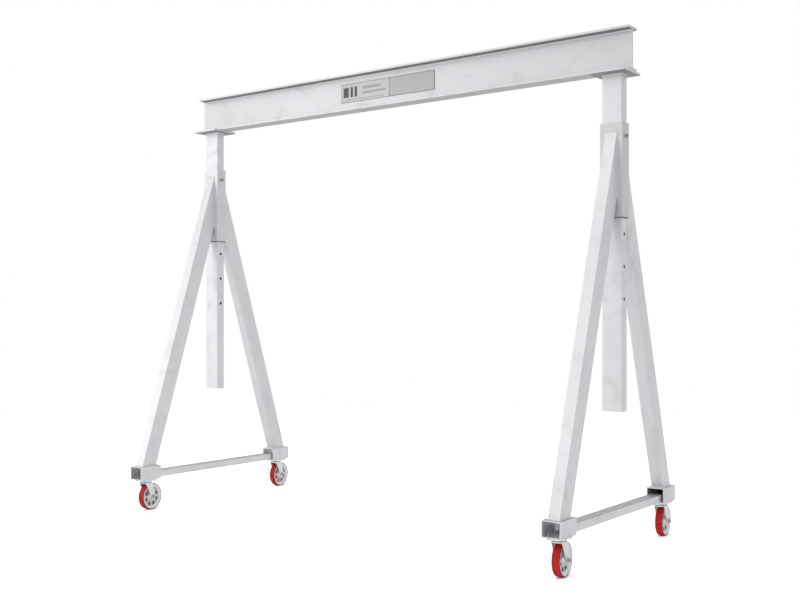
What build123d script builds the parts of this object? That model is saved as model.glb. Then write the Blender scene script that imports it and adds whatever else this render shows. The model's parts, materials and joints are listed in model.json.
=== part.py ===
"""Portable gantry crane: an I-beam carried by two telescoping end frames on swivel casters.

Frame: +Z up, +X along the beam, origin on the floor at the middle of the span. Sizes in mm.
"""

import os

from build123d import *

os.makedirs("parts", exist_ok=True)

# Overall sizes
span = 2690.0  # between the two post centrelines
beam_underside = 2268.0  # height of the beam's lower face at the lowest setting

# Beam and the plates it stands on
beam_depth = 203.0
flange_width = 92.0
flange_thickness = 10.5
web_thickness = 7.0
root_radius = 8.0
top_plate_length = 184.0
top_plate_width = 178.0
top_plate_thickness = 10.0
name_plate_length = 640.0
name_plate_height = 105.0
name_plate_thickness = 1.5

# Telescoping posts and the sleeves they slide in
post_length = 1580.0
post_x = 100.0
post_y = 55.0
post_wall = 5.0
slide_clearance = 0.5  # post to sleeve, each side
sleeve_wall = 7.5
sleeve_length = 445.0
sleeve_top = 2028.0
tube_corner = 3.0

# Height-setting holes and pull pins
hole_pitch = 152.4
hole_count = 6
top_hole_below_sleeve_top = 62.0
pin_radius = 8.0
pin_running_clearance = 0.05
pin_hole_clearance = 0.75
pin_travel = 8.0
pin_head_radius = 9.5
pin_head_thickness = 3.0
head_stop_clearance = 0.3

# A-frame legs, feet and base rail
leg_x = 61.0
leg_cut_width = 100.0  # along Y, at the horizontal cut
leg_wall = 5.0
leg_foot_outer_y = 594.0
leg_tip_below_sleeve_top = 44.0
foot_centre_y = 544.5
foot_length = 146.0
foot_x = 93.0
foot_z = 76.0
foot_wall = 5.0
rail_x = 64.0
rail_z = 38.0
rail_wall = 4.0
rail_entry = 20.0  # how far each end reaches into its foot

# Casters
wheel_radius = 76.0
wheel_width = 38.0
tread_thickness = 5.0
trail = 34.0
caster_turn = 6.0  # degrees about the kingpin that each caster stands turned
hub_radius = 22.0
hub_length = 44.0
bearing_radius = 12.0
bearing_length = 45.4
axle_radius = 6.0
pocket_floor = 5.0  # web left between the pockets of the two faces of a wheel
running_clearance = 0.05
fork_gap = 46.0
fork_wall = 5.0
fork_boss_radius = 17.0
fork_hole_clearance = 0.25
crown_gap = 5.0  # wheel to fork crown
crown_radius = 36.0
race_gap = 3.0
race_height = 10.0
race_inner_radius = 18.0
ball_radius = 3.5
ball_ring_radius = 25.0
ball_count = 16
groove_depth = 1.0
mount_plate_x = 92.0
mount_plate_y = 105.0
mount_plate_thickness = 6.0
bolt_spacing_x = 60.0
bolt_spacing_y = 76.0
bolt_radius = 5.0
bolt_hole_clearance = 0.5
bolt_across_flats = 16.0
bolt_head_height = 6.4
bolt_nut_height = 8.0
bolt_end = 3.0
kingpin_radius = 7.0
kingpin_head_radius = 11.0
kingpin_head_height = 3.0
kingpin_foot_radius = 10.0
kingpin_foot_height = 6.0
kingpin_foot_clearance = 0.3
axle_across_flats = 18.0
axle_head_height = 7.5
axle_nut_height = 10.0
axle_end = 3.0

# Derived sizes and levels
hex_ratio = 2 / 3**0.5  # across corners over across flats
beam_length = span + top_plate_length
post_top = beam_underside - top_plate_thickness
post_bottom = post_top - post_length
sleeve_x = post_x + 2 * (slide_clearance + sleeve_wall)
sleeve_y = post_y + 2 * (slide_clearance + sleeve_wall)
sleeve_bottom = sleeve_top - sleeve_length
top_hole = sleeve_top - top_hole_below_sleeve_top
crown_bottom = 2 * wheel_radius + crown_gap
crown_top = crown_bottom + fork_wall
ball_level = crown_top - groove_depth + ball_radius + running_clearance
race_bottom = crown_top + race_gap
mount_plate_bottom = race_bottom + race_height
foot_bottom = mount_plate_bottom + mount_plate_thickness
foot_top = foot_bottom + foot_z
fork_x = fork_gap + 2 * fork_wall
core_radius = wheel_radius - tread_thickness


def save(built, name):
    """Label one finished piece and write it to its own STEP file."""
    built.part.label = name
    export_step(built.part, f"parts/{name}.step")


def save_turned(built, x, y, name):
    """Save a piece of a caster, turned about its kingpin to the angle the caster stands at."""
    turned = built.part.rotate(Axis((x, y, 0), (0, 0, 1)), caster_turn)
    turned.label = name
    export_step(turned, f"parts/{name}.step")


# ---------------------------------------------------------------- beam assembly
with BuildPart() as beam:
    with BuildSketch(Plane.YZ.offset(-beam_length / 2)) as section:
        with Locations((0, beam_underside + beam_depth / 2)):
            Rectangle(web_thickness, beam_depth)
        with Locations((0, beam_underside), (0, beam_underside + beam_depth - flange_thickness)):
            Rectangle(flange_width, flange_thickness, align=(Align.CENTER, Align.MIN))
        roots = section.vertices().filter_by(lambda v: abs(v.X) < web_thickness)
        fillet(roots, root_radius)
    extrude(amount=beam_length)
save(beam, "beam")

with BuildPart() as name_plate:
    with BuildSketch(Plane.XZ.offset(web_thickness / 2)):
        with Locations((0, beam_underside + beam_depth / 2 + 3)):
            RectangleRounded(name_plate_length, name_plate_height, 4)
    extrude(amount=name_plate_thickness)
save(name_plate, "name_plate")


def make_top_plate(x, name):
    """Square plate welded on the head of a post, under the beam."""
    with BuildPart() as top_plate:
        with BuildSketch(Plane.XY.offset(post_top)):
            with Locations((x, 0)):
                RectangleRounded(top_plate_length, top_plate_width, 5)
        extrude(amount=top_plate_thickness)
    save(top_plate, name)


def make_post(x, name):
    """Inner telescoping tube with its row of height-setting holes through both narrow faces."""
    with BuildPart() as post:
        with BuildSketch(Plane.XY.offset(post_bottom)):
            with Locations((x, 0)):
                RectangleRounded(post_x, post_y, tube_corner)
                Rectangle(post_x - 2 * post_wall, post_y - 2 * post_wall, mode=Mode.SUBTRACT)
        extrude(amount=post_length)
        with BuildSketch(Plane.YZ.offset(x)):
            with Locations(*[(0, top_hole - n * hole_pitch) for n in range(hole_count)]):
                Circle(pin_radius + pin_hole_clearance)
        extrude(amount=post_x, both=True, mode=Mode.SUBTRACT)
    save(post, name)


# ---------------------------------------------------------------- end frames
def make_sleeve(x, name):
    """Outer tube that the post slides in, with one cross hole for the pull pin."""
    with BuildPart() as sleeve:
        with BuildSketch(Plane.XY.offset(sleeve_bottom)):
            with Locations((x, 0)):
                RectangleRounded(sleeve_x, sleeve_y, tube_corner)
                Rectangle(
                    post_x + 2 * slide_clearance, post_y + 2 * slide_clearance, mode=Mode.SUBTRACT
                )
        extrude(amount=sleeve_length)
        with BuildSketch(Plane.YZ.offset(x)):
            with Locations((0, top_hole)):
                Circle(pin_radius + pin_running_clearance)
        extrude(amount=sleeve_x, both=True, mode=Mode.SUBTRACT)
    save(sleeve, name)


def make_lock_pin(x, name):
    """Pull pin drawn back to its rest: its tip is inside the sleeve's wall, clear of the post."""
    tip = x + sleeve_x / 2 - sleeve_wall + 0.5
    head = x + sleeve_x / 2 + pin_travel + head_stop_clearance
    with BuildPart() as lock_pin:
        with BuildSketch(Plane.YZ.offset(tip)):
            with Locations((0, top_hole)):
                Circle(pin_radius)
        extrude(amount=head - tip)
        chamfer(lock_pin.faces().sort_by(Axis.X)[0].edges(), 1.5)
        with BuildSketch(Plane.YZ.offset(head)):
            with Locations((0, top_hole)):
                Circle(pin_head_radius)
        extrude(amount=pin_head_thickness)
        fillet(lock_pin.faces().sort_by(Axis.X)[-1].edges(), 1)
    save(lock_pin, name)


def make_leg(x, end, name):
    """Sloping rectangular tube: cut level on its foot, cut upright against the sleeve."""
    sleeve_face = sleeve_y / 2
    tip = sleeve_top - leg_tip_below_sleeve_top
    run = leg_foot_outer_y - sleeve_face
    slope = (tip - foot_top) / run
    leg_foot_inner_y = leg_foot_outer_y - leg_cut_width
    throat = foot_top + slope * (leg_foot_inner_y - sleeve_face)
    # the wall measured along the level cut, and the same wall measured upright
    wall_y = leg_wall * (1 + 1 / slope**2) ** 0.5
    wall_z = wall_y * slope
    outline = [
        (end * leg_foot_outer_y, foot_top),
        (end * leg_foot_inner_y, foot_top),
        (end * sleeve_face, throat),
        (end * sleeve_face, tip),
    ]
    hollow = [
        (end * (leg_foot_outer_y - wall_y), foot_top),
        (end * (leg_foot_inner_y + wall_y), foot_top),
        (end * sleeve_face, throat + wall_z),
        (end * sleeve_face, tip - wall_z),
    ]
    with BuildPart() as leg:
        with BuildSketch(Plane.YZ.offset(x)):
            with BuildLine():
                Polyline(*outline, close=True)
            make_face()
        extrude(amount=leg_x / 2, both=True)
        fillet(leg.edges().filter_by(lambda e: e.length > 2 * sleeve_length), tube_corner)
        with BuildSketch(Plane.YZ.offset(x)):
            with BuildLine():
                Polyline(*hollow, close=True)
            make_face()
        extrude(amount=leg_x / 2 - leg_wall, both=True, mode=Mode.SUBTRACT)
    save(leg, name)


def make_foot(x, end, name):
    """Short open-ended box tube under a leg, drilled for the caster bolts and the kingpin head."""
    with BuildPart() as foot:
        start = end * foot_centre_y + foot_length / 2
        with BuildSketch(Plane.XZ.offset(-start)):
            with Locations((x, foot_bottom + foot_z / 2)):
                RectangleRounded(foot_x, foot_z, tube_corner)
                Rectangle(foot_x - 2 * foot_wall, foot_z - 2 * foot_wall, mode=Mode.SUBTRACT)
        extrude(amount=foot_length)
        with BuildSketch(Plane.XY.offset(foot_bottom)):
            with Locations((x, end * foot_centre_y)):
                with GridLocations(bolt_spacing_x, bolt_spacing_y, 2, 2):
                    Circle(bolt_radius + bolt_hole_clearance)
        extrude(amount=foot_wall, mode=Mode.SUBTRACT)
    save(foot, name)


def make_base_rail(x, name):
    """Flat rectangular tube that lies on the floors of the two feet and ties them together."""
    reach = foot_centre_y - foot_length / 2 + rail_entry
    with BuildPart() as base_rail:
        with BuildSketch(Plane.XZ.offset(-reach)):
            with Locations((x, foot_bottom + foot_wall + rail_z / 2)):
                RectangleRounded(rail_x, rail_z, tube_corner)
                Rectangle(rail_x - 2 * rail_wall, rail_z - 2 * rail_wall, mode=Mode.SUBTRACT)
        extrude(amount=2 * reach)
    save(base_rail, name)


def caster_bolt_places(x):
    """Centres of the bolts through both feet of one end frame."""
    return [
        (x + i * bolt_spacing_x / 2, end * foot_centre_y + j * bolt_spacing_y / 2)
        for end in (-1, 1)
        for i in (-1, 1)
        for j in (-1, 1)
    ]


def make_caster_bolts(x, name):
    """Hexagon bolts with their heads under the mounting plates."""
    grip = mount_plate_thickness + foot_wall + bolt_nut_height + bolt_end
    with BuildPart() as bolts:
        with BuildSketch(Plane.XY.offset(mount_plate_bottom - bolt_head_height)):
            with Locations(*caster_bolt_places(x)):
                RegularPolygon(bolt_across_flats / 2 * hex_ratio, 6)
        extrude(amount=bolt_head_height)
        with BuildSketch(Plane.XY.offset(mount_plate_bottom)):
            with Locations(*caster_bolt_places(x)):
                Circle(bolt_radius)
        extrude(amount=grip)
    save(bolts, name)


def make_caster_nuts(x, name):
    """Hexagon nuts on the floors of the feet."""
    with BuildPart() as nuts:
        with BuildSketch(Plane.XY.offset(foot_bottom + foot_wall)):
            with Locations(*caster_bolt_places(x)):
                RegularPolygon(bolt_across_flats / 2 * hex_ratio, 6)
                Circle(bolt_radius, mode=Mode.SUBTRACT)
        extrude(amount=bolt_nut_height)
    save(nuts, name)


# ---------------------------------------------------------------- casters
def make_mount_plate(x, y, name):
    """Bolted plate with the upper ball race standing down from it."""
    with BuildPart() as mount_plate:
        with BuildSketch(Plane.XY.offset(mount_plate_bottom)):
            with Locations((x, y)):
                RectangleRounded(mount_plate_x, mount_plate_y, 8)
                with GridLocations(bolt_spacing_x, bolt_spacing_y, 2, 2):
                    Circle(bolt_radius + bolt_hole_clearance, mode=Mode.SUBTRACT)
        extrude(amount=mount_plate_thickness)
        with BuildSketch(Plane.XY.offset(race_bottom)):
            with Locations((x, y)):
                Circle(crown_radius)
                Circle(race_inner_radius, mode=Mode.SUBTRACT)
        extrude(amount=race_height)
        with BuildSketch(Plane.XY.offset(mount_plate_bottom)):
            with Locations((x, y)):
                Circle(kingpin_radius)
        extrude(amount=mount_plate_thickness, mode=Mode.SUBTRACT)
        with BuildSketch(Plane.XY.offset(foot_bottom - kingpin_head_height)):
            with Locations((x, y)):
                Circle(kingpin_head_radius)
        extrude(amount=kingpin_head_height, mode=Mode.SUBTRACT)
        with BuildSketch(Plane.XZ.offset(-y)):
            with Locations((x + ball_ring_radius, ball_level)):
                Circle(ball_radius + running_clearance)
        revolve(axis=Axis((x, y, 0), (0, 0, 1)), mode=Mode.SUBTRACT)
    save(mount_plate, name)


def make_kingpin(x, y, name):
    """Riveted swivel pin: head sunk in the plate, shank through the crown, foot under the crown."""
    foot_level = crown_bottom - kingpin_foot_clearance
    with BuildPart() as kingpin:
        with BuildSketch(Plane.XY.offset(foot_level - kingpin_foot_height)):
            with Locations((x, y)):
                Circle(kingpin_foot_radius)
        extrude(amount=kingpin_foot_height)
        with BuildSketch(Plane.XY.offset(foot_level)):
            with Locations((x, y)):
                Circle(kingpin_radius)
        extrude(amount=foot_bottom - kingpin_head_height - foot_level)
        with BuildSketch(Plane.XY.offset(foot_bottom - kingpin_head_height)):
            with Locations((x, y)):
                Circle(kingpin_head_radius)
        extrude(amount=kingpin_head_height)
    save(kingpin, name)


def make_bearing_balls(x, y, name):
    """Ring of steel balls that carries the load between plate and fork."""
    with BuildPart() as balls:
        with Locations((x, y, ball_level)):
            with PolarLocations(ball_ring_radius, ball_count):
                Sphere(ball_radius)
    save(balls, name)


def make_fork(x, y, name):
    """Pressed fork: round crown with the lower race groove, and two legs reaching to the axle."""
    with BuildPart() as fork:
        with BuildSketch(Plane.XY.offset(crown_bottom)):
            with Locations((x, y)):
                Circle(crown_radius)
                Rectangle(fork_x, 1.4 * crown_radius)
                Circle(kingpin_radius + running_clearance, mode=Mode.SUBTRACT)
        extrude(amount=fork_wall)
        for start in (x - fork_x / 2, x + fork_gap / 2):
            with BuildSketch(Plane.YZ.offset(start)):
                with Locations((y + trail, wheel_radius)):
                    Circle(fork_boss_radius)
                with Locations((y, crown_bottom + fork_wall / 2)):
                    Rectangle(1.4 * crown_radius, fork_wall)
                make_hull()
            extrude(amount=fork_wall)
        with BuildSketch(Plane.YZ.offset(x)):
            with Locations((y + trail, wheel_radius)):
                Circle(axle_radius + fork_hole_clearance)
        extrude(amount=fork_x, both=True, mode=Mode.SUBTRACT)
        with BuildSketch(Plane.XZ.offset(-y)):
            with Locations((x + ball_ring_radius, ball_level)):
                Circle(ball_radius + running_clearance)
        revolve(axis=Axis((x, y, 0), (0, 0, 1)), mode=Mode.SUBTRACT)
    save_turned(fork, x, y, name)


def make_axle(x, y, name):
    """Axle bolt through both fork legs, head on the -X side."""
    head = x - fork_x / 2
    with BuildPart() as axle:
        with BuildSketch(Plane.YZ.offset(head - axle_head_height)):
            with Locations((y + trail, wheel_radius)):
                RegularPolygon(axle_across_flats / 2 * hex_ratio, 6)
        extrude(amount=axle_head_height)
        with BuildSketch(Plane.YZ.offset(head)):
            with Locations((y + trail, wheel_radius)):
                Circle(axle_radius)
        extrude(amount=fork_x + axle_nut_height + axle_end)
    save_turned(axle, x, y, name)


def make_axle_nut(x, y, name):
    """Nut on the +X end of the axle bolt."""
    with BuildPart() as axle_nut:
        with BuildSketch(Plane.YZ.offset(x + fork_x / 2)):
            with Locations((y + trail, wheel_radius)):
                RegularPolygon(axle_across_flats / 2 * hex_ratio, 6)
                Circle(axle_radius, mode=Mode.SUBTRACT)
        extrude(amount=axle_nut_height)
    save_turned(axle_nut, x, y, name)


def make_wheel_core(x, y, name):
    """Cast wheel centre: hub, dished web with eight pockets in each face, and a wide rim."""
    rim = wheel_width / 2 - 1
    half_profile = [
        (0, bearing_radius),
        (hub_length / 2, bearing_radius),
        (hub_length / 2, hub_radius - 3),
        (hub_length / 2 - 3, hub_radius),
        (12, hub_radius + 3),
        (9, hub_radius + 8),
        (9, core_radius - 17),
        (rim - 3, core_radius - 9),
        (rim, core_radius - 6),
        (rim, core_radius),
        (0, core_radius),
    ]
    profile = half_profile + [(-a, r) for a, r in reversed(half_profile[1:-1])]
    with BuildPart() as wheel_core:
        centre = (x, y + trail, wheel_radius)
        with BuildSketch(Plane(origin=centre, x_dir=(1, 0, 0), z_dir=(0, -1, 0))):
            with BuildLine():
                Polyline(*profile, close=True)
            make_face()
        revolve(axis=Axis(centre, (1, 0, 0)))
        for way in (-1, 1):
            with BuildSketch(Plane.YZ.offset(x + way * pocket_floor / 2)) as pockets:
                with Locations((y + trail, wheel_radius)):
                    Circle(core_radius - 19)
                    Circle(hub_radius + 10, mode=Mode.SUBTRACT)
                    with PolarLocations(core_radius / 2, 8):
                        Rectangle(core_radius, 12, mode=Mode.SUBTRACT)
                fillet(pockets.vertices(), 3)
            extrude(amount=way * wheel_width, mode=Mode.SUBTRACT)
    save_turned(wheel_core, x, y, name)


def make_tread(x, y, name):
    """Moulded tyre band with rounded shoulders, bonded on the rim."""
    with BuildPart() as tread:
        with BuildSketch(Plane.YZ.offset(x - wheel_width / 2)):
            with Locations((y + trail, wheel_radius)):
                Circle(wheel_radius)
                Circle(core_radius, mode=Mode.SUBTRACT)
        extrude(amount=wheel_width)
        shoulders = tread.edges().filter_by(GeomType.CIRCLE).group_by(lambda e: e.radius)[-1]
        fillet(shoulders, 3)
    save_turned(tread, x, y, name)


def make_wheel_bearing(x, y, name):
    """Plain bearing sleeve pressed in the hub, turning on the axle bolt."""
    with BuildPart() as wheel_bearing:
        with BuildSketch(Plane.YZ.offset(x - bearing_length / 2)):
            with Locations((y + trail, wheel_radius)):
                Circle(bearing_radius)
                Circle(axle_radius + running_clearance, mode=Mode.SUBTRACT)
        extrude(amount=bearing_length)
    save_turned(wheel_bearing, x, y, name)


# ---------------------------------------------------------------- both ends
for side, x in (("left", -span / 2), ("right", span / 2)):
    make_top_plate(x, f"{side}_top_plate")
    make_post(x, f"{side}_post")
    make_sleeve(x, f"{side}_sleeve")
    make_lock_pin(x, f"{side}_lock_pin")
    make_base_rail(x, f"{side}_base_rail")
    make_caster_bolts(x, f"{side}_caster_bolts")
    make_caster_nuts(x, f"{side}_caster_nuts")
    for place, end in (("front", -1), ("back", 1)):
        y = end * foot_centre_y
        corner = f"{side}_{place}"
        make_leg(x, end, f"{corner}_leg")
        make_foot(x, end, f"{corner}_foot")
        make_mount_plate(x, y, f"{corner}_mount_plate")
        make_kingpin(x, y, f"{corner}_kingpin")
        make_bearing_balls(x, y, f"{corner}_bearing_balls")
        make_fork(x, y, f"{corner}_fork")
        make_axle(x, y, f"{corner}_axle")
        make_axle_nut(x, y, f"{corner}_axle_nut")
        make_wheel_core(x, y, f"{corner}_wheel_core")
        make_tread(x, y, f"{corner}_tread")
        make_wheel_bearing(x, y, f"{corner}_wheel_bearing")
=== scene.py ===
"""Portable aluminium gantry crane: finishes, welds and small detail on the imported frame."""

import json
import math

import bmesh
import bpy
import numpy as np
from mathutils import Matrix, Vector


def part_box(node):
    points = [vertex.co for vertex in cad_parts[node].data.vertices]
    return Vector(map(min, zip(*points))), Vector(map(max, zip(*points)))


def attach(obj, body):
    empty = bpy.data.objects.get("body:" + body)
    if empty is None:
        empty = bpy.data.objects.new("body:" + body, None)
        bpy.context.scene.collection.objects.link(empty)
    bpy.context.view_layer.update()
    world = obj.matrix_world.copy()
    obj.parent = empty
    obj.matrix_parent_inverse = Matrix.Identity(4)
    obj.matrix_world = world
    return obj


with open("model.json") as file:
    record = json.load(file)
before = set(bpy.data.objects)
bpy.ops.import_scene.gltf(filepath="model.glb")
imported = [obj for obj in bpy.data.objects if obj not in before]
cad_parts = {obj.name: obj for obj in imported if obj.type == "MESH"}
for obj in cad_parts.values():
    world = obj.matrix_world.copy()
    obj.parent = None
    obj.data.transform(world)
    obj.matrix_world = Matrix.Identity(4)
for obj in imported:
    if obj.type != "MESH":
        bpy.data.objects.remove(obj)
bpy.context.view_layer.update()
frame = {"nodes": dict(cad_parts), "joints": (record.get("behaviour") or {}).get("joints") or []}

# ------------------------------------------------------------------ beam
# The beam is one length of extruded aluminium I-section, left with its mill finish.
# It keeps the die's fine lengthwise lines and picks up scuffs from trolleys and slings.


def put(tree, kind, feeds=None, **settings):
    """One shader node; each feed is either a socket to link from or a constant."""
    node = tree.nodes.new("ShaderNode" + kind)
    for name, value in settings.items():
        setattr(node, name, value)
    for socket, value in (feeds or {}).items():
        if isinstance(value, bpy.types.NodeSocket):
            tree.links.new(value, node.inputs[socket])
        else:
            node.inputs[socket].default_value = value
    return node


def maths(tree, operation, a, b=0.0, clamp=False):
    """One Math node's result."""
    return put(tree, "Math", {0: a, 1: b}, operation=operation, use_clamp=clamp).outputs[0]


def span_of(tree, value, low, high, to_low=0.0, to_high=1.0):
    """A value mapped and clamped from one range to another."""
    feeds = {0: value, 1: low, 2: high, 3: to_low, 4: to_high}
    return put(tree, "MapRange", feeds).outputs[0]


def blended(tree, factor, a, b):
    """Two colours mixed by a factor."""
    node = put(tree, "Mix", {0: factor}, data_type="RGBA")
    for socket, value in ((node.inputs[6], a), (node.inputs[7], b)):
        if isinstance(value, bpy.types.NodeSocket):
            tree.links.new(value, socket)
        else:
            socket.default_value = (*value, 1.0)
    return node.outputs[2]


def effect(name, takes, gives):
    """An empty node group with named inputs and outputs: (tree, its inputs, its output node)."""
    tree = bpy.data.node_groups.new(name, "ShaderNodeTree")
    for label, kind, default in takes:
        socket = tree.interface.new_socket(label, in_out="INPUT", socket_type="NodeSocket" + kind)
        if kind == "Float":
            socket.default_value = default
    for label in gives:
        tree.interface.new_socket(label, in_out="OUTPUT", socket_type="NodeSocketFloat")
    inner = tree.nodes.new("NodeGroupInput")
    return tree, inner.outputs, tree.nodes.new("NodeGroupOutput")


def use(tree, group, feeds):
    """A node group placed in a material, with its outputs."""
    node = tree.nodes.new("ShaderNodeGroup")
    node.node_tree = group
    for socket, value in feeds.items():
        if isinstance(value, bpy.types.NodeSocket):
            tree.links.new(value, node.inputs[socket])
        else:
            node.inputs[socket].default_value = value
    return node.outputs


def drawn_finish():
    """Die lines along a drawn or extruded length, and the slow cloudiness of its oxide."""
    takes = [("Along", "Vector", None), ("Place", "Vector", None), ("Cloud Scale", "Float", 4.0)]
    tree, given, out = effect("drawn_finish", takes, ["Lines", "Clouds"])
    fine = put(tree, "TexNoise", {"Vector": given["Along"], "Scale": 1.0, "Detail": 5.0})
    fine.inputs["Roughness"].default_value = 0.62
    cloud = put(tree, "TexNoise", {"Vector": given["Place"], "Scale": given["Cloud Scale"]})
    cloud.inputs["Detail"].default_value = 4.0
    cloud.inputs["Distortion"].default_value = 0.7
    tree.links.new(span_of(tree, fine.outputs[0], 0.3, 0.7), out.inputs["Lines"])
    tree.links.new(span_of(tree, cloud.outputs[0], 0.3, 0.7), out.inputs["Clouds"])
    return tree


def handling_wear():
    """Scattered thin scratches in two directions, and soft finger and sling smudges."""
    takes = [("Place", "Vector", None), ("Scratch Scale", "Float", 1.0)]
    tree, given, out = effect("handling_wear", takes, ["Scratches", "Smudges"])
    marks = []
    for turn, stretch in (((0.5, 0.3, 0.8), (5, 150, 60)), ((1.2, 0.9, 0.2), (140, 7, 70))):
        laid = put(tree, "Mapping", {"Vector": given["Place"], "Rotation": turn, "Scale": stretch})
        grain = put(tree, "TexNoise", {"Vector": laid.outputs[0], "Scale": given["Scratch Scale"]})
        grain.inputs["Detail"].default_value = 2.0
        marks.append(span_of(tree, grain.outputs[0], 0.70, 0.76))
    smear = put(tree, "TexNoise", {"Vector": given["Place"], "Scale": 7.0, "Detail": 6.0})
    smear.inputs["Distortion"].default_value = 1.4
    both = maths(tree, "MAXIMUM", marks[0], marks[1])
    tree.links.new(both, out.inputs["Scratches"])
    tree.links.new(span_of(tree, smear.outputs[0], 0.52, 0.74), out.inputs["Smudges"])
    return tree


def edge_wear():
    """Where a rounded normal leaves the flat one, broken up by noise: rubbed, brighter edges."""
    takes = [("Place", "Vector", None), ("Radius", "Float", 0.002), ("Breakup", "Float", 30.0)]
    tree, given, out = effect("edge_wear", takes, ["Edge"])
    soft = put(tree, "Bevel", {"Radius": given["Radius"]}, samples=4)
    flat = tree.nodes.new("ShaderNodeNewGeometry")
    same = put(tree, "VectorMath", {0: soft.outputs[0], 1: flat.outputs["Normal"]})
    same.operation = "DOT_PRODUCT"
    bent = span_of(tree, same.outputs["Value"], 0.995, 0.88)
    rub = put(tree, "TexNoise", {"Vector": given["Place"], "Scale": given["Breakup"]})
    kept = span_of(tree, rub.outputs[0], 0.38, 0.62, 0.25, 1.0)
    tree.links.new(maths(tree, "MULTIPLY", bent, kept), out.inputs["Edge"])
    return tree


def floor_dust():
    """Pale dust that thins out upwards from the floor."""
    takes = [("Place", "Vector", None), ("Reach", "Float", 0.25)]
    tree, given, out = effect("floor_dust", takes, ["Dust"])
    parts = put(tree, "SeparateXYZ", {0: given["Place"]})
    low = put(tree, "MapRange", {0: parts.outputs["Z"], 1: given["Reach"], 2: 0.0})
    motes = put(tree, "TexNoise", {"Vector": given["Place"], "Scale": 45.0, "Detail": 6.0})
    patchy = span_of(tree, motes.outputs[0], 0.4, 0.66)
    tree.links.new(maths(tree, "MULTIPLY", low.outputs[0], patchy), out.inputs["Dust"])
    return tree


def level_faces():
    """Masks of the faces that look straight up and straight down."""
    tree, _, out = effect("level_faces", [], ["Above", "Below"])
    flat = tree.nodes.new("ShaderNodeNewGeometry")
    rise = put(tree, "SeparateXYZ", {0: flat.outputs["Normal"]}).outputs["Z"]
    tree.links.new(span_of(tree, rise, 0.6, 0.95), out.inputs["Above"])
    tree.links.new(span_of(tree, rise, -0.6, -0.95), out.inputs["Below"])
    return tree


DRAWN, HANDLED, EDGES, DUST = drawn_finish(), handling_wear(), edge_wear(), floor_dust()
LEVEL = level_faces()


def blank_material(name):
    """A material with only its shader and output: (material, tree, shader, object coordinates)."""
    material = bpy.data.materials.new(name)
    material.use_nodes = True
    tree = material.node_tree
    shader = tree.nodes["Principled BSDF"]
    place = tree.nodes.new("ShaderNodeTexCoord").outputs["Object"]
    return material, tree, shader, place


def mill_aluminium(
    name, stretch, turn=(0.0, 0.0, 0.0), shade=1.0, dusty=0.0, painted_shadow_at=None, painted_shade=None
):
    """Mill-finish aluminium whose die lines run where stretch is small, after the turn. The shade
    factor scales the colour lighter or darker: painted light and shade for how light falls on
    that part.

    Where a rim height is given, a dark band is painted over the lowest few millimetres above
    it: painted shadow of the shaded gap at that rim.
    Level faces get painted shade, a dark film on faces that look up and on faces that look down:
    its argument gives the piece's lowest and highest level, then the film's strength at each of
    them on faces that look up, and on faces that look down.
    """
    material, tree, shader, place = blank_material(name)
    laid = put(tree, "Mapping", {"Vector": place, "Rotation": turn, "Scale": stretch})
    drawn = use(tree, DRAWN, {"Along": laid.outputs[0], "Place": place, "Cloud Scale": 3.2})
    worn = use(tree, HANDLED, {"Place": place, "Scratch Scale": 1.0})
    edge = use(tree, EDGES, {"Place": place, "Radius": 0.0022, "Breakup": 28.0})
    dust = use(tree, DUST, {"Place": place, "Reach": 0.32})
    tone = maths(tree, "MULTIPLY", drawn["Lines"], 0.45)
    tone = maths(tree, "ADD", tone, maths(tree, "MULTIPLY", drawn["Clouds"], 0.55), clamp=True)
    # painted light and shade: the shade factor scales the colour lighter or darker for this part
    dark, light = [tuple(shade * c for c in v) for v in ((0.69, 0.70, 0.715), (0.80, 0.805, 0.815))]
    colour = blended(tree, tone, dark, light)
    colour = blended(
        tree, maths(tree, "MULTIPLY", worn["Smudges"], 0.22), colour, (0.56, 0.56, 0.57)
    )
    colour = blended(
        tree, maths(tree, "MULTIPLY", worn["Scratches"], 0.35), colour, (0.92, 0.92, 0.92)
    )
    colour = blended(tree, maths(tree, "MULTIPLY", edge["Edge"], 0.5), colour, (0.93, 0.93, 0.93))
    if dusty:
        film = maths(tree, "MULTIPLY", dust["Dust"], dusty)
        colour = blended(tree, film, colour, (0.50, 0.48, 0.45))
    rise = put(tree, "SeparateXYZ", {0: place}).outputs["Z"]
    # painted shade: level faces darkened by a dark film whose strength changes with height
    if painted_shade:
        levels, top, under = painted_shade
        facing = use(tree, LEVEL, {})
        for side, strength in (("Above", top), ("Below", under)):
            amount = span_of(tree, rise, *levels, *strength)
            film = maths(tree, "MULTIPLY", facing[side], amount)
            colour = blended(tree, film, colour, (0.17, 0.17, 0.175))
    if painted_shadow_at is not None:
        # painted shadow: the lowest few millimetres above the given rim height are darkened
        line = span_of(tree, rise, painted_shadow_at + 0.0045, painted_shadow_at + 0.0025)
        colour = blended(tree, line, colour, (0.13, 0.13, 0.13))
    tree.links.new(colour, shader.inputs["Base Color"])
    rough = maths(tree, "ADD", maths(tree, "MULTIPLY", drawn["Clouds"], 0.10), 0.36)
    rough = maths(tree, "ADD", rough, maths(tree, "MULTIPLY", worn["Smudges"], 0.12))
    rough = maths(tree, "ADD", rough, maths(tree, "MULTIPLY", drawn["Lines"], 0.06))
    tree.links.new(rough, shader.inputs["Roughness"])
    shader.inputs["Metallic"].default_value = 0.75
    height = maths(tree, "MULTIPLY", drawn["Lines"], 0.5)
    height = maths(tree, "SUBTRACT", height, maths(tree, "MULTIPLY", worn["Scratches"], 0.6))
    bump = put(tree, "Bump", {"Height": height, "Strength": 0.10, "Distance": 0.0006})
    tree.links.new(bump.outputs[0], shader.inputs["Normal"])
    return material


def dress(names, material):
    """Puts a material in every slot of the named CAD nodes."""
    for name in names:
        for slot in frame["nodes"][name].material_slots:
            slot.material = material


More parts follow.
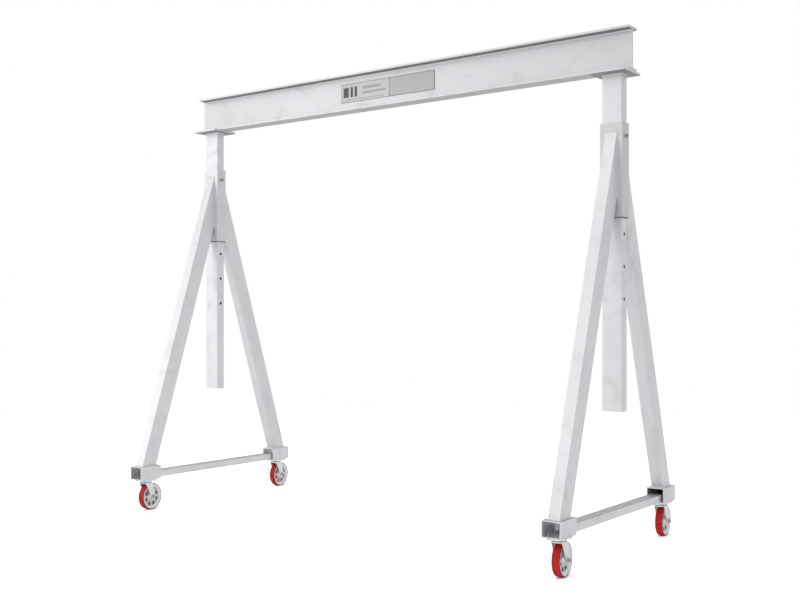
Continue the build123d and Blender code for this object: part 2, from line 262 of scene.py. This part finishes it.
def levels_of(name):
    """Lowest and highest level of a CAD node."""
    low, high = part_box(name)
    return low.z, high.z


# painted shade: the flange undersides are darkened, the top flange's more strongly
beam_painted_shade = (levels_of("beam"), (0.0, 0.0), (0.35, 0.85))
# painted shade: the beam's colour is scaled darker
dress(["beam"], mill_aluminium("beam_aluminium", (2.0, 420.0, 420.0), shade=0.94, painted_shade=beam_painted_shade))

# ------------------------------------------------------------------ name plate
# A printed aluminium strip bonded to the web: a blank grey panel beside a panel with a plain
# block mark and lines of filler bars. It carries no lettering.


def name_plate_print():
    """The strip's print, laid out from its own length and height."""
    low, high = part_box("name_plate")
    material, tree, shader, place = blank_material("name_plate_print")
    parts = put(tree, "SeparateXYZ", {0: place})
    along = span_of(tree, parts.outputs["X"], low.x, high.x)
    up = span_of(tree, parts.outputs["Z"], low.z, high.z)

    def block(left, right, bottom, top, soft=0.002):
        """A mask that is 1 inside a rectangle of the strip, in fractions of its sides."""
        sides = [
            span_of(tree, along, left - soft, left + soft),
            span_of(tree, along, right + soft, right - soft),
            span_of(tree, up, bottom - 6 * soft, bottom + 6 * soft),
            span_of(tree, up, top + 6 * soft, top - 6 * soft),
        ]
        mask = sides[0]
        for side in sides[1:]:
            mask = maths(tree, "MULTIPLY", mask, side)
        return mask

    split = 0.53
    panel = span_of(tree, along, split - 0.001, split + 0.001)
    colour = blended(tree, panel, (0.66, 0.665, 0.67), (0.535, 0.54, 0.545))
    speck = put(tree, "TexNoise", {"Vector": place, "Scale": 60.0, "Detail": 5.0})
    aged = span_of(tree, speck.outputs[0], 0.35, 0.7, 0.0, 0.14)
    colour = blended(tree, aged, colour, (0.40, 0.40, 0.41))
    lines = [
        block(0.0, split, 0.965, 1.0),
        block(0.0, split, 0.0, 0.035),
        block(split, 1.0, 0.965, 1.0),
        block(split, 1.0, 0.0, 0.035),
        block(0.0, 0.006, 0.0, 1.0),
        block(split - 0.004, split + 0.004, 0.0, 1.0),
        block(0.992, 1.0, 0.0, 1.0),
    ]
    border = lines[0]
    for line in lines[1:]:
        border = maths(tree, "MAXIMUM", border, line)
    colour = blended(tree, maths(tree, "MULTIPLY", border, 0.7), colour, (0.16, 0.16, 0.17))
    mark = block(0.025, 0.085, 0.27, 0.80)
    for left in (0.105, 0.150):
        mark = maths(tree, "MAXIMUM", mark, block(left, left + 0.028, 0.27, 0.80))
    colour = blended(tree, maths(tree, "MULTIPLY", mark, 0.9), colour, (0.045, 0.045, 0.05))
    bars = block(0.235, 0.43, 0.62, 0.76)
    for left, right, bottom, top in ((0.235, 0.49, 0.37, 0.49), (0.05, 0.47, 0.11, 0.16)):
        bars = maths(tree, "MAXIMUM", bars, block(left, right, bottom, top))
    colour = blended(tree, maths(tree, "MULTIPLY", bars, 0.5), colour, (0.22, 0.22, 0.23))
    tree.links.new(colour, shader.inputs["Base Color"])
    tree.links.new(span_of(tree, speck.outputs[0], 0.3, 0.7, 0.34, 0.5), shader.inputs["Roughness"])
    shader.inputs["Metallic"].default_value = 0.25
    bump = put(tree, "Bump", {"Height": border, "Strength": 0.12, "Distance": 0.0004})
    tree.links.new(bump.outputs[0], shader.inputs["Normal"])
    return material


dress(["name_plate"], name_plate_print())

# ------------------------------------------------------------------ posts and top plates
# Each post is a drawn rectangular tube that telescopes in its sleeve, with a sawn and welded
# square plate on its head for the beam.
SIDES = ("left", "right")
# painted light: the posts' colour is scaled lighter
upright = mill_aluminium("post_aluminium", (420.0, 420.0, 2.0), shade=1.08)
dress([f"{side}_post" for side in SIDES], upright)
# painted shade: the undersides of the top plates are darkened
plate_painted_shade = (levels_of("left_top_plate"), (0.0, 0.0), (0.8, 0.8))
plate_finish = mill_aluminium("plate_aluminium", (260.0, 3.0, 260.0), painted_shade=plate_painted_shade)
dress([f"{side}_top_plate" for side in SIDES], plate_finish)

# ------------------------------------------------------------------ end frames
# Sleeve, legs, feet and base rail are rectangular aluminium tubes welded into an A-frame. The
# legs are drawn along their own slope. Each part's colour is scaled lighter or darker as painted
# light and shade, with the right sleeve darker than the left as painted shade, and the lowest
# tubes have floor dust on their sides and painted shade on their tops and undersides.
ENDS = ("front", "back")
sleeve_low, sleeve_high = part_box("left_sleeve")
leg_low, leg_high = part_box("left_front_leg")
lean = math.atan2(abs(leg_low.y) - sleeve_high.y, leg_high.z - leg_low.z)
# painted shade: the right sleeve is scaled darker than the left, for dimmer light on the right
for side, tone in zip(SIDES, (1.03, 0.92)):
    sleeve_finish = mill_aluminium(
        f"{side}_sleeve_aluminium", (400.0, 400.0, 2.0), shade=tone, painted_shadow_at=sleeve_low.z
    )
    dress([f"{side}_sleeve"], sleeve_finish)
# painted light: the legs' colour is scaled lighter
for end, sign in zip(ENDS, (-1, 1)):
    sloped = mill_aluminium(
        f"{end}_leg_aluminium",
        (420.0, 420.0, 2.0),
        turn=(sign * -lean, 0.0, 0.0),
        shade=1.08,
        dusty=0.25,
    )
    dress([f"{side}_{end}_leg" for side in SIDES], sloped)
for kind, sample, names in (
    ("base_rail", "left_base_rail", [f"{side}_base_rail" for side in SIDES]),
    ("foot", "left_front_foot", [f"{side}_{end}_foot" for side in SIDES for end in ENDS]),
):
    # painted shade: tops of the feet and rails darkened, and their undersides low down
    low_tube_painted_shade = (levels_of(sample), (0.0, 0.45), (0.3, 0.0))
    # painted light: the colour of the feet and base rails is scaled lighter
    low_tube = mill_aluminium(
        f"{kind}_aluminium", (420.0, 2.0, 420.0), shade=1.1, dusty=0.2, painted_shade=low_tube_painted_shade
    )
    dress(names, low_tube)

# ------------------------------------------------------------------ weld beads
# Every joint between tubes is closed by a hand-laid fillet weld: a rounded bead with the
# overlapping ripples of the pool.


def bead_surface(corners, closed, radius, ripple=0.0028):
    """A round bead on a path with straight runs.

    The grid is (distance along, angle round). A point is the path's point plus the bead's
    radius times the ring of two normals; the radius swells and falls with |sin| of distance
    over the ripple, plus a slow wander. Open beads shrink to a point at both ends.
    """
    corners = np.array(corners, float)
    ends = np.vstack([corners, corners[:1]]) if closed else corners
    steps = np.linalg.norm(np.diff(ends, axis=0), axis=1)
    reach = np.concatenate([[0.0], np.cumsum(steps)])
    count = max(int(reach[-1] / (ripple / 3)), 12)
    along = np.linspace(0.0, reach[-1], count, endpoint=not closed)
    line = np.stack([np.interp(along, reach, ends[:, k]) for k in range(3)], axis=1)
    ahead = np.roll(line, -1, axis=0) - np.roll(line, 1, axis=0)
    if not closed:
        ahead[0], ahead[-1] = line[1] - line[0], line[-1] - line[-2]
    ahead /= np.linalg.norm(ahead, axis=1)[:, None]
    spread = corners.max(0) - corners.min(0)
    flat = np.eye(3)[int(np.argmin(spread))] if closed else np.array([0.0, 0.0, 1.0])
    across = np.cross(ahead, flat)
    across /= np.linalg.norm(across, axis=1)[:, None]
    swell = 0.86 + 0.14 * np.abs(np.sin(np.pi * along / ripple))
    swell *= 1.0 + 0.09 * np.sin(along * 61.0) + 0.05 * np.sin(along * 173.0 + 1.3)
    if not closed:
        fall = np.minimum(along, reach[-1] - along) / (1.5 * radius)
        swell *= np.sqrt(np.clip(fall * (2 - fall), 0.0, 1.0) * (fall < 1) + (fall >= 1))
    angle = np.linspace(0, 2 * np.pi, 8, endpoint=False)
    ring = np.cos(angle)[None, :, None] * across[:, None, :]
    ring = ring + np.sin(angle)[None, :, None] * flat[None, None, :]
    points = line[:, None, :] + radius * swell[:, None, None] * ring
    rows, turns = points.shape[:2]
    i = np.arange(rows if closed else rows - 1)[:, None]
    j = np.arange(turns)[None, :]
    i2, j2 = (i + 1) % rows, (j + 1) % turns
    quads = np.stack([i * turns + j, i * turns + j2, i2 * turns + j2, i2 * turns + j], axis=-1)
    return points.reshape(-1, 3), quads.reshape(-1, 4)


def grid_piece(name, surfaces, material, body):
    """One smooth mesh object from several grids, riding on a body."""
    points, faces, base = [], [], 0
    for part_points, part_faces in surfaces:
        points.append(part_points)
        faces.append(part_faces + base)
        base += len(part_points)
    mesh = bpy.data.meshes.new(name)
    mesh.from_pydata(np.vstack(points).tolist(), [], np.vstack(faces).tolist())
    tidy = bmesh.new()
    tidy.from_mesh(mesh)
    bmesh.ops.remove_doubles(tidy, verts=tidy.verts, dist=1e-6)
    bmesh.ops.recalc_face_normals(tidy, faces=tidy.faces)
    tidy.to_mesh(mesh)
    tidy.free()
    mesh.polygons.foreach_set("use_smooth", np.ones(len(mesh.polygons), bool))
    piece = bpy.data.objects.new(name, mesh)
    bpy.context.scene.collection.objects.link(piece)
    mesh.materials.append(material)
    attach(piece, body)
    return piece


def weld_metal():
    """Bright as-laid weld metal with faint straw and grey heat tint."""
    material, tree, shader, place = blank_material("weld_metal")
    grain = put(tree, "TexNoise", {"Vector": place, "Scale": 260.0, "Detail": 4.0})
    tint = put(tree, "TexNoise", {"Vector": place, "Scale": 22.0, "Detail": 3.0})
    colour = blended(
        tree, span_of(tree, grain.outputs[0], 0.35, 0.65), (0.74, 0.74, 0.75), (0.84, 0.84, 0.84)
    )
    heat = span_of(tree, tint.outputs[0], 0.5, 0.72, 0.0, 0.35)
    colour = blended(tree, heat, colour, (0.50, 0.49, 0.47))
    tree.links.new(colour, shader.inputs["Base Color"])
    tree.links.new(span_of(tree, grain.outputs[0], 0.3, 0.7, 0.3, 0.5), shader.inputs["Roughness"])
    shader.inputs["Metallic"].default_value = 0.8
    bump = put(tree, "Bump", {"Height": grain.outputs[0], "Strength": 0.25, "Distance": 0.0004})
    tree.links.new(bump.outputs[0], shader.inputs["Normal"])
    return material


WELD = weld_metal()
WELD_RADIUS = 0.0032
WELD_SUNK = 0.4  # a post head's bead is centred this share of its radius below the plate
WELD_END_GAP = 0.006  # the beam's seam stops this far short of the plate's corners
RAIL_END_GAP = 0.004  # the seam under a base rail stops this far short of its sides
LEG_FOOT_REACH = 0.1  # length of a leg's lower end along the foot


def level_loop(x_low, x_high, y_low, y_high, z):
    """Corners of a level rectangle, for a bead round an upright tube."""
    return [(x_low, y_low, z), (x_high, y_low, z), (x_high, y_high, z), (x_low, y_high, z)]


head_welds = []
for side in SIDES:
    low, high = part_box(f"{side}_post")
    plate_low, plate_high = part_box(f"{side}_top_plate")
    around = level_loop(low.x, high.x, low.y, high.y, high.z - WELD_RADIUS * WELD_SUNK)
    head_welds.append(bead_surface(around, True, WELD_RADIUS))
    flange_low, flange_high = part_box("beam")
    for y in (flange_low.y, flange_high.y):
        starts, stops = plate_low.x + WELD_END_GAP, plate_high.x - WELD_END_GAP
        run = [(starts, y, plate_high.z), (stops, y, plate_high.z)]
        head_welds.append(bead_surface(run, False, WELD_RADIUS))
grid_piece("beam_and_post_welds", head_welds, WELD, "beam_assembly")

for side in SIDES:
    welds = []
    rail_low, rail_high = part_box(f"{side}_base_rail")
    for end, sign in zip(ENDS, (-1, 1)):
        low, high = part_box(f"{side}_{end}_leg")
        foot_low, foot_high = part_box(f"{side}_{end}_foot")
        outer = sign * max(abs(low.y), abs(high.y))
        face = sign * min(abs(low.y), abs(high.y))
        inner = outer - sign * LEG_FOOT_REACH
        y_low, y_high = sorted((outer, inner))
        welds.append(bead_surface(level_loop(low.x, high.x, y_low, y_high, low.z), True, WELD_RADIUS))
        slope = (high.z - low.z) / abs(outer - face)
        throat = low.z + slope * abs(inner - face)
        upright_loop = [
            (low.x, face, throat),
            (high.x, face, throat),
            (high.x, face, high.z),
            (low.x, face, high.z),
        ]
        welds.append(bead_surface(upright_loop, True, WELD_RADIUS))
        mouth = foot_low.y if sign > 0 else foot_high.y
        starts, stops = rail_low.x + RAIL_END_GAP, rail_high.x - RAIL_END_GAP
        under = [(starts, mouth, rail_low.z), (stops, mouth, rail_low.z)]
        welds.append(bead_surface(under, False, WELD_RADIUS))
    grid_piece(f"{side}_frame_welds", welds, WELD, f"{side}_frame")

# ------------------------------------------------------------------ foot plug
# The outer mouth of the right back foot is closed by a black moulded plastic insert, pressed
# in until it is flush, with a rounded rim and a slightly crowned face. Its black stands in for
# the deep shade inside that mouth: painted shade. The other feet are open.


def plug_surface(x_low, x_high, z_low, z_high, mouth, way):
    """A closed crowned block in the mouth of a tube.

    The grid is (step of the profile, angle). A ring point is the rounded rectangle
    |u|^n + |v|^n = 1 with a high n; the profile carries it from the middle of the back face,
    out to the wall, along the depth, round the rim and in over the crown to a pole.
    """
    angle = np.linspace(0, 2 * np.pi, 64, endpoint=False)
    power = 2.0 / 14.0
    u = np.sign(np.cos(angle)) * np.abs(np.cos(angle)) ** power
    v = np.sign(np.sin(angle)) * np.abs(np.sin(angle)) ** power
    sizes = np.array([0.0, 0.5, 1.0, 1.0, 1.0, 0.985, 0.955, 0.90, 0.6, 0.3, 0.0])
    depth = np.array([12.0, 12.0, 12.0, 6.0, 3.0, 1.6, 0.9, 0.8, 0.5, 0.35, 0.3]) / 1000
    half_x, half_z = (x_high - x_low) / 2, (z_high - z_low) / 2
    x = (x_low + x_high) / 2 + half_x * sizes[:, None] * u[None, :]
    z = (z_low + z_high) / 2 + half_z * sizes[:, None] * v[None, :]
    y = mouth - way * np.repeat(depth[:, None], len(angle), axis=1)
    rows, turns = x.shape
    i, j = np.arange(rows - 1)[:, None], np.arange(turns)[None, :]
    j2 = (j + 1) % turns
    quads = np.stack([i * turns + j, i * turns + j2, (i + 1) * turns + j2, (i + 1) * turns + j], -1)
    return np.stack([x, y, z], axis=-1).reshape(-1, 3), quads.reshape(-1, 4)


def shade_black_plastic():
    """Black moulded plastic, fine spark-eroded grain, a little dust; the black is painted shade."""
    material, tree, shader, place = blank_material("shade_black_plastic")
    grain = put(tree, "TexNoise", {"Vector": place, "Scale": 900.0, "Detail": 3.0})
    dust = use(tree, DUST, {"Place": place, "Reach": 0.4})
    colour = blended(tree, grain.outputs[0], (0.02, 0.02, 0.021), (0.045, 0.045, 0.046))
    film = maths(tree, "MULTIPLY", dust["Dust"], 0.06)
    colour = blended(tree, film, colour, (0.4, 0.38, 0.35))
    tree.links.new(colour, shader.inputs["Base Color"])
    tree.links.new(span_of(tree, grain.outputs[0], 0.3, 0.7, 0.45, 0.62), shader.inputs["Roughness"])
    shader.inputs["Specular IOR Level"].default_value = 0.3
    bump = put(tree, "Bump", {"Height": grain.outputs[0], "Strength": 0.2, "Distance": 0.0002})
    tree.links.new(bump.outputs[0], shader.inputs["Normal"])
    return material


foot_wall = 0.005
low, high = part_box("right_back_foot")
# painted shade: a black block in the mouth of the right back foot
block = plug_surface(
    low.x + foot_wall, high.x - foot_wall, low.z + foot_wall, high.z - foot_wall, high.y, 1
)
grid_piece("right_foot_plug", [block], shade_black_plastic(), "right_frame")

# ------------------------------------------------------------------ pull pins
# Turned steel pins, grey with handling, rubbed bright where a hand pulls the head.


def turned_steel():
    """Turned steel gone grey, with rubbed edges."""
    material, tree, shader, place = blank_material("turned_steel")
    edge = use(tree, EDGES, {"Place": place, "Radius": 0.0015, "Breakup": 120.0})
    grain = put(tree, "TexNoise", {"Vector": place, "Scale": 190.0, "Detail": 5.0})
    colour = blended(
        tree, span_of(tree, grain.outputs[0], 0.35, 0.65), (0.30, 0.30, 0.305), (0.44, 0.44, 0.445)
    )
    colour = blended(tree, maths(tree, "MULTIPLY", edge["Edge"], 0.6), colour, (0.66, 0.66, 0.67))
    tree.links.new(colour, shader.inputs["Base Color"])
    tree.links.new(span_of(tree, grain.outputs[0], 0.3, 0.7, 0.32, 0.5), shader.inputs["Roughness"])
    shader.inputs["Metallic"].default_value = 0.8
    bump = put(tree, "Bump", {"Height": grain.outputs[0], "Strength": 0.1, "Distance": 0.0003})
    tree.links.new(bump.outputs[0], shader.inputs["Normal"])
    return material


dress([f"{side}_lock_pin" for side in SIDES], turned_steel())

# ------------------------------------------------------------------ caster mountings, forks, fasteners
# Pressed and zinc-plated steel: mounting plate, fork, bolts, nuts and axle. The plating is
# bright with a faint spangle, and duller low down where dust settles.


def zinc_plate(name, light, dark, roughness, spangle):
    """Bright zinc plating: soft cells of slightly different tone, dust low down, worn edges."""
    material, tree, shader, place = blank_material(name)
    cells = put(tree, "TexVoronoi", {"Vector": place, "Scale": spangle})
    cloud = put(tree, "TexNoise", {"Vector": place, "Scale": 28.0, "Detail": 5.0})
    edge = use(tree, EDGES, {"Place": place, "Radius": 0.0015, "Breakup": 90.0})
    worn = use(tree, HANDLED, {"Place": place, "Scratch Scale": 3.0})
    dust = use(tree, DUST, {"Place": place, "Reach": 0.17})
    tones = put(tree, "RGBToBW", {0: cells.outputs["Color"]}).outputs[0]
    mixed = maths(tree, "MULTIPLY", tones, 0.4)
    mixed = maths(tree, "ADD", mixed, maths(tree, "MULTIPLY", cloud.outputs[0], 0.6), clamp=True)
    colour = blended(tree, mixed, dark, light)
    colour = blended(tree, maths(tree, "MULTIPLY", worn["Scratches"], 0.3), colour, (0.9, 0.9, 0.9))
    colour = blended(tree, maths(tree, "MULTIPLY", edge["Edge"], 0.45), colour, (0.93, 0.93, 0.93))
    film = maths(tree, "MULTIPLY", dust["Dust"], 0.35)
    colour = blended(tree, film, colour, (0.46, 0.44, 0.41))
    tree.links.new(colour, shader.inputs["Base Color"])
    rough = maths(tree, "ADD", maths(tree, "MULTIPLY", cloud.outputs[0], 0.16), roughness)
    rough = maths(tree, "ADD", rough, maths(tree, "MULTIPLY", film, 0.5))
    tree.links.new(rough, shader.inputs["Roughness"])
    shader.inputs["Metallic"].default_value = 0.8
    height = maths(tree, "SUBTRACT", maths(tree, "MULTIPLY", tones, 0.2), worn["Scratches"])
    bump = put(tree, "Bump", {"Height": height, "Strength": 0.07, "Distance": 0.0004})
    tree.links.new(bump.outputs[0], shader.inputs["Normal"])
    return material


corners = [f"{side}_{end}" for side in SIDES for end in ENDS]
pressed = zinc_plate("zinc_pressings", (0.93, 0.935, 0.945), (0.84, 0.85, 0.865), 0.24, 170.0)
hardware = zinc_plate("zinc_hardware", (0.62, 0.63, 0.645), (0.42, 0.43, 0.44), 0.26, 420.0)
dress([f"{c}_{part}" for c in corners for part in ("mount_plate", "fork")], pressed)
dress([f"{c}_{part}" for c in corners for part in ("axle", "axle_nut", "kingpin")], hardware)
dress([f"{c}_bearing_balls" for c in corners], hardware)
dress([f"{side}_caster_{kind}" for side in SIDES for kind in ("bolts", "nuts")], hardware)

# ------------------------------------------------------------------ wheels
# Cast aluminium centre turned on its faces, with a red polyurethane tread moulded on and a
# bronze bearing sleeve pressed in the hub.


TREAD_HALF_WIDTH = 0.019
DISH_RIM, DISH_FLOOR = 0.0135, 0.0100  # distances from the wheel's middle plane
POCKET_RIM, POCKET_WALL = 0.0086, 0.0070


def wheel_place(tree, place, hub, axle):
    """Object coordinates carried to one wheel: X along its axle, zero at the hub's middle."""
    centred = put(tree, "VectorMath", {0: place, 1: hub}, operation="SUBTRACT")
    turn = -math.atan2(axle[1], axle[0])
    laid = put(tree, "Mapping", {"Vector": centred.outputs[0], "Rotation": (0.0, 0.0, turn)})
    parts = put(tree, "SeparateXYZ", {0: laid.outputs[0]})
    aside = maths(tree, "ABSOLUTE", parts.outputs["X"])
    square_y = maths(tree, "MULTIPLY", parts.outputs["Y"], parts.outputs["Y"])
    square_z = maths(tree, "MULTIPLY", parts.outputs["Z"], parts.outputs["Z"])
    reach = maths(tree, "SQRT", maths(tree, "ADD", square_y, square_z))
    return laid.outputs[0], aside, reach


def turned_casting(name, hub, axle):
    """Cast aluminium: bright turned rim and hub, a dish painted darker as shade, and grey pockets
    whose grey is the casting's own unturned surface deepened by painted shade.
    """
    material, tree, shader, place = blank_material(name)
    laid, aside, _ = wheel_place(tree, place, hub, axle)
    rings = put(tree, "TexWave", {"Vector": laid, "Scale": 160.0, "Distortion": 0.6})
    rings.wave_type, rings.rings_direction = "RINGS", "X"
    sand = put(tree, "TexNoise", {"Vector": place, "Scale": 330.0, "Detail": 4.0})
    edge = use(tree, EDGES, {"Place": place, "Radius": 0.0015, "Breakup": 110.0})
    dust = use(tree, DUST, {"Place": place, "Reach": 0.14})
    tone = maths(tree, "MULTIPLY", rings.outputs["Fac"], 0.35)
    tone = maths(tree, "ADD", tone, maths(tree, "MULTIPLY", sand.outputs[0], 0.65), clamp=True)
    colour = blended(tree, tone, (0.90, 0.905, 0.91), (0.97, 0.97, 0.975))
    colour = blended(tree, maths(tree, "MULTIPLY", edge["Edge"], 0.4), colour, (0.96, 0.96, 0.96))
    film = maths(tree, "MULTIPLY", dust["Dust"], 0.16)
    colour = blended(tree, film, colour, (0.5, 0.48, 0.45))
    # painted shade: the recessed dish is darkened
    dish = span_of(tree, aside, DISH_RIM, DISH_FLOOR)
    colour = blended(tree, maths(tree, "MULTIPLY", dish, 0.7), colour, (0.60, 0.605, 0.615))
    # the pockets' grey is the unturned casting surface, darkened further as painted shade
    pocket = span_of(tree, aside, POCKET_RIM, POCKET_WALL)
    cast_and_shade = blended(tree, sand.outputs[0], (0.30, 0.30, 0.305), (0.42, 0.42, 0.425))
    colour = blended(tree, pocket, colour, cast_and_shade)
    tree.links.new(colour, shader.inputs["Base Color"])
    rough = maths(tree, "ADD", maths(tree, "MULTIPLY", sand.outputs[0], 0.2), 0.26)
    rough = maths(tree, "ADD", rough, maths(tree, "MULTIPLY", pocket, 0.35))
    tree.links.new(maths(tree, "ADD", rough, film), shader.inputs["Roughness"])
    shader.inputs["Metallic"].default_value = 0.55
    height = maths(tree, "ADD", maths(tree, "MULTIPLY", rings.outputs["Fac"], 0.5), sand.outputs[0])
    bump = put(tree, "Bump", {"Height": height, "Strength": 0.10, "Distance": 0.0003})
    tree.links.new(bump.outputs[0], shader.inputs["Normal"])
    return material


def polyurethane(name, hub, axle, half_width, radius):
    """Red moulded polyurethane: slight mottle, scuffs round the rolling face, shoulders darkened
    as painted shade.
    """
    material, tree, shader, place = blank_material(name)
    laid, aside, reach = wheel_place(tree, place, hub, axle)
    rolling = span_of(tree, reach, radius - 0.0014, radius - 0.0004)
    mottle = put(tree, "TexNoise", {"Vector": place, "Scale": 24.0, "Detail": 5.0})
    grit = put(tree, "TexNoise", {"Vector": place, "Scale": 420.0, "Detail": 3.0})
    scuff = put(tree, "Mapping", {"Vector": laid, "Scale": (520.0, 26.0, 26.0)})
    streak = put(tree, "TexNoise", {"Vector": scuff.outputs[0], "Scale": 1.0, "Detail": 4.0})
    colour = blended(
        tree, span_of(tree, mottle.outputs[0], 0.3, 0.7), (0.46, 0.006, 0.006), (0.60, 0.014, 0.011)
    )
    rubbed = maths(tree, "MULTIPLY", span_of(tree, streak.outputs[0], 0.52, 0.72), rolling)
    colour = blended(tree, maths(tree, "MULTIPLY", rubbed, 0.22), colour, (0.36, 0.05, 0.045))
    specks = maths(tree, "MULTIPLY", span_of(tree, grit.outputs[0], 0.62, 0.72), rolling)
    colour = blended(tree, maths(tree, "MULTIPLY", specks, 0.2), colour, (0.22, 0.12, 0.10))
    # painted shade: a dark band at the edges of the tread's width
    shoulder_shade = span_of(tree, aside, half_width - 0.0012, half_width - 0.0003, 0.0, 0.75)
    colour = blended(tree, shoulder_shade, colour, (0.075, 0.008, 0.009))
    tree.links.new(colour, shader.inputs["Base Color"])
    rough = maths(tree, "ADD", maths(tree, "MULTIPLY", rubbed, 0.2), 0.42)
    tree.links.new(rough, shader.inputs["Roughness"])
    shader.inputs["Specular IOR Level"].default_value = 0.25
    height = maths(tree, "ADD", maths(tree, "MULTIPLY", grit.outputs[0], 0.4), rubbed)
    bump = put(tree, "Bump", {"Height": height, "Strength": 0.12, "Distance": 0.0004})
    tree.links.new(bump.outputs[0], shader.inputs["Normal"])
    return material


def bearing_bronze():
    """Plain bronze, lightly oiled."""
    material, tree, shader, place = blank_material("bearing_bronze")
    grain = put(tree, "TexNoise", {"Vector": place, "Scale": 240.0, "Detail": 4.0})
    colour = blended(tree, grain.outputs[0], (0.42, 0.26, 0.11), (0.60, 0.42, 0.20))
    tree.links.new(colour, shader.inputs["Base Color"])
    tree.links.new(span_of(tree, grain.outputs[0], 0.3, 0.7, 0.22, 0.4), shader.inputs["Roughness"])
    shader.inputs["Metallic"].default_value = 1.0
    return material


bronze = bearing_bronze()
hinges = {joint["name"]: joint for joint in frame["joints"]}
for corner in corners:
    spin = hinges[f"{corner}_wheel_spin"]
    hub, axle = tuple(spin["pos_m"]), tuple(spin["axis"])
    floor_to_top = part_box(f"{corner}_tread")[1].z
    casting = turned_casting(f"{corner}_casting", hub, axle)
    urethane = polyurethane(f"{corner}_polyurethane", hub, axle, TREAD_HALF_WIDTH, floor_to_top / 2)
    dress([f"{corner}_wheel_core"], casting)
    dress([f"{corner}_tread"], urethane)
    dress([f"{corner}_wheel_bearing"], bronze)

# ------------------------------------------------------------------ room, light and camera
# A plain pale floor that fades into a white surround, even soft light all round, and one
# large soft light from the front left.
FLOOR_HALF = 9.0
floor_corners = [
    (-FLOOR_HALF, -FLOOR_HALF, 0),
    (FLOOR_HALF, -FLOOR_HALF, 0),
    (FLOOR_HALF, FLOOR_HALF, 0),
    (-FLOOR_HALF, FLOOR_HALF, 0),
]
floor_mesh = bpy.data.meshes.new("floor")
floor_mesh.from_pydata(floor_corners, [], [(0, 1, 2, 3)])
floor = bpy.data.objects.new("floor", floor_mesh)
bpy.context.scene.collection.objects.link(floor)
floor_material = bpy.data.materials.new("pale_floor")
floor_material.use_nodes = True
ground = floor_material.node_tree
ground.nodes.remove(ground.nodes["Principled BSDF"])
ground_place = ground.nodes.new("ShaderNodeTexCoord").outputs["Object"]
seen = ground.nodes.new("ShaderNodeLightPath").outputs["Is Camera Ray"]
mottle = put(ground, "TexNoise", {"Vector": ground_place, "Scale": 2.0, "Detail": 3.0})
pale = span_of(ground, mottle.outputs[0], 0.3, 0.7)
lit = blended(ground, pale, (0.93, 0.93, 0.93), (0.95, 0.95, 0.95))
shown = blended(ground, pale, (1.72, 1.72, 1.72), (1.76, 1.76, 1.76))
matte = put(ground, "BsdfDiffuse", {"Color": blended(ground, seen, lit, shown)})
distance = put(ground, "VectorMath", {0: ground_place}, operation="LENGTH").outputs["Value"]
fade = maths(ground, "MULTIPLY", span_of(ground, distance, 3.6, 7.5), seen)
clear = ground.nodes.new("ShaderNodeBsdfTransparent")
surface = put(ground, "MixShader", {0: fade})
ground.links.new(matte.outputs[0], surface.inputs[1])
ground.links.new(clear.outputs[0], surface.inputs[2])
ground.links.new(surface.outputs[0], ground.nodes["Material Output"].inputs["Surface"])
floor_mesh.materials.append(floor_material)

world = bpy.data.worlds.new("studio")
bpy.context.scene.world = world
world.use_nodes = True
sky = world.node_tree
heading = sky.nodes.new("ShaderNodeTexCoord").outputs["Generated"]
towards = put(sky, "VectorMath", {0: heading, 1: (-0.795, -0.348, 0.497)}, operation="DOT_PRODUCT")
bright_side = span_of(sky, towards.outputs["Value"], 0.45, 0.96)
around = blended(sky, bright_side, (0.67, 0.672, 0.68), (1.08, 1.08, 1.085))
sky_seen = sky.nodes.new("ShaderNodeLightPath").outputs["Is Camera Ray"]
backdrop = blended(sky, sky_seen, around, (1.0, 1.0, 1.0))
sky.links.new(backdrop, sky.nodes["Background"].inputs["Color"])
sky.nodes["Background"].inputs["Strength"].default_value = 1.0


def soft_light(name, place, aim, size, power):
    """A square area light turned towards a point."""
    lamp = bpy.data.lights.new(name, "AREA")
    lamp.size, lamp.energy = size, power
    holder = bpy.data.objects.new(name, lamp)
    bpy.context.scene.collection.objects.link(holder)
    way = np.array(aim) - np.array(place)
    holder.location = place
    holder.rotation_euler = (
        math.atan2(math.hypot(way[0], way[1]), -way[2]), 0.0, math.atan2(way[1], way[0]) - math.pi / 2
    )
    return holder


soft_light("key_light", (-4.2, -5.2, 2.2), (-0.6, 0.0, 1.0), 3.6, 34.0)
soft_light("top_light", (0.3, -0.5, 6.5), (0.0, 0.0, 0.0), 6.0, 40.0)

camera = bpy.data.cameras.new("camera")
camera.sensor_width = 36.0
camera.lens = 47.84
camera.shift_x, camera.shift_y = 0.0015, 0.0198
camera.clip_end = 200.0
viewer = bpy.data.objects.new("camera", camera)
bpy.context.scene.collection.objects.link(viewer)
viewer.location = (3.524, -4.608, 1.126)
viewer.rotation_euler = (math.radians(90.0), 0.0, math.radians(36.773))
bpy.context.scene.camera = viewer
bpy.context.scene.view_settings.view_transform = "Standard"
